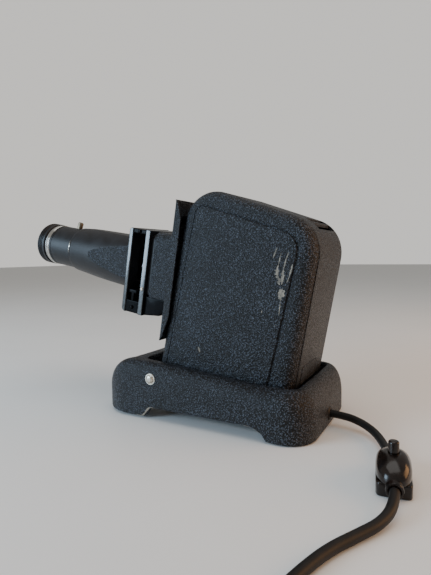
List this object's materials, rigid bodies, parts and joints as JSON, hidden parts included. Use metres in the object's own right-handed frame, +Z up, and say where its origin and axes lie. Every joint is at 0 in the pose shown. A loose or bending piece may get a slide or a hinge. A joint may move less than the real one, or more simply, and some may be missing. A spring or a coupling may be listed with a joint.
{
  "type": "slide projector",
  "caption": "Small die-cast projector for mounted slides, with a tilting lamphouse, a sliding lens barrel and a mains lead with a push-button switch.",
  "frame": {"origin": "on the table, under the middle of the object's box without the lead", "axes": "+Z up, the lens points along -Y, +X is the operator's side with the slide slot and the removable cover"},
  "size_m": [0.3954, 0.463, 0.2042],
  "materials": {
    "crinkle_black": "black crinkle enamel, worn to bare metal at the edges",
    "gloss_black": "gloss black enamel",
    "barrel_black": "satin black enamel",
    "chrome_plate": "polished nickel-chrome plate",
    "nickel_screw": "dull nickel plate",
    "steel": "plain steel",
    "brass": "dull brass",
    "foot_rubber": "matt black rubber",
    "fibre": "red fibre",
    "bakelite": "polished dark brown bakelite",
    "cord_rubber": "smooth black-brown rubber",
    "lens_glass": "clear polished glass",
    "heat_glass": "pale green heat glass",
    "bright_reflector": "bright spun aluminium",
    "ceramic_socket": "glazed ceramic",
    "wire_cloth": "braided heat-proof sleeve"
  },
  "bodies": {
    "base": {"base_casting": "crinkle_black", "rubber_feet": "foot_rubber", "foot_screws": "steel", "pivot_screws": "nickel_screw", "friction_washers": "fibre", "cord_grommet": "cord_rubber", "cord_lead": "cord_rubber", "switch_lower": "bakelite", "switch_upper": "bakelite", "cord_tail": "cord_rubber", "cord_coil": "cord_rubber", "cord_end": "cord_rubber", "cord_plug": "bakelite", "plug_blades": "brass"},
    "lamphouse": {"tilt_bracket": "steel", "lamphouse_shell": "crinkle_black", "lamphouse_cover": "crinkle_black", "tie_bolts": "steel", "front_plate": "crinkle_black", "plate_spacers": "steel", "vent_baffle": "barrel_black", "condenser_neck": "crinkle_black", "condenser_cell": "steel", "condenser_lens_front": "lens_glass", "condenser_lens_rear": "lens_glass", "heat_glass": "heat_glass", "lamp_bulb": "lens_glass", "lamp_base": "brass", "lamp_socket": "ceramic_socket", "socket_bracket": "steel", "reflector": "bright_reflector", "reflector_bracket": "steel", "lead_wires": "wire_cloth", "gate_front_plate": "gloss_black", "gate_rear_plate": "gloss_black", "gate_top_band": "gloss_black", "gate_floor_block": "gloss_black", "slide_ledge": "barrel_black", "pressure_springs": "steel", "gate_screws": "nickel_screw", "gate_rivet": "nickel_screw", "neck_bracket": "gloss_black", "snout": "crinkle_black"},
    "lens": {"focus_tube": "barrel_black", "focus_pin": "brass", "chrome_ring": "chrome_plate", "front_bezel": "barrel_black", "lens_front": "lens_glass", "lens_middle": "lens_glass", "lens_rear": "lens_glass", "lens_spacers": "barrel_black"},
    "button": {"switch_button": "bakelite"}
  },
  "joints": [
    {"name": "tilt", "type": "hinge", "parent": "base", "child": "lamphouse", "pos_m": [0, 0.0258, 0.0384], "axis": [1, 0, 0], "range_deg": [0, 9.8]},
    {"name": "focus", "type": "slide", "parent": "lamphouse", "child": "lens", "axis": [0, -0.9854, 0.1702], "range_m": [-0.006, 0.025]},
    {"name": "push_button", "type": "slide", "parent": "base", "child": "button", "axis": [0, 0, -1], "range_m": [0, 0.003], "stiffness_N_per_m": 400, "springref_m": -0.0015}
  ]
}
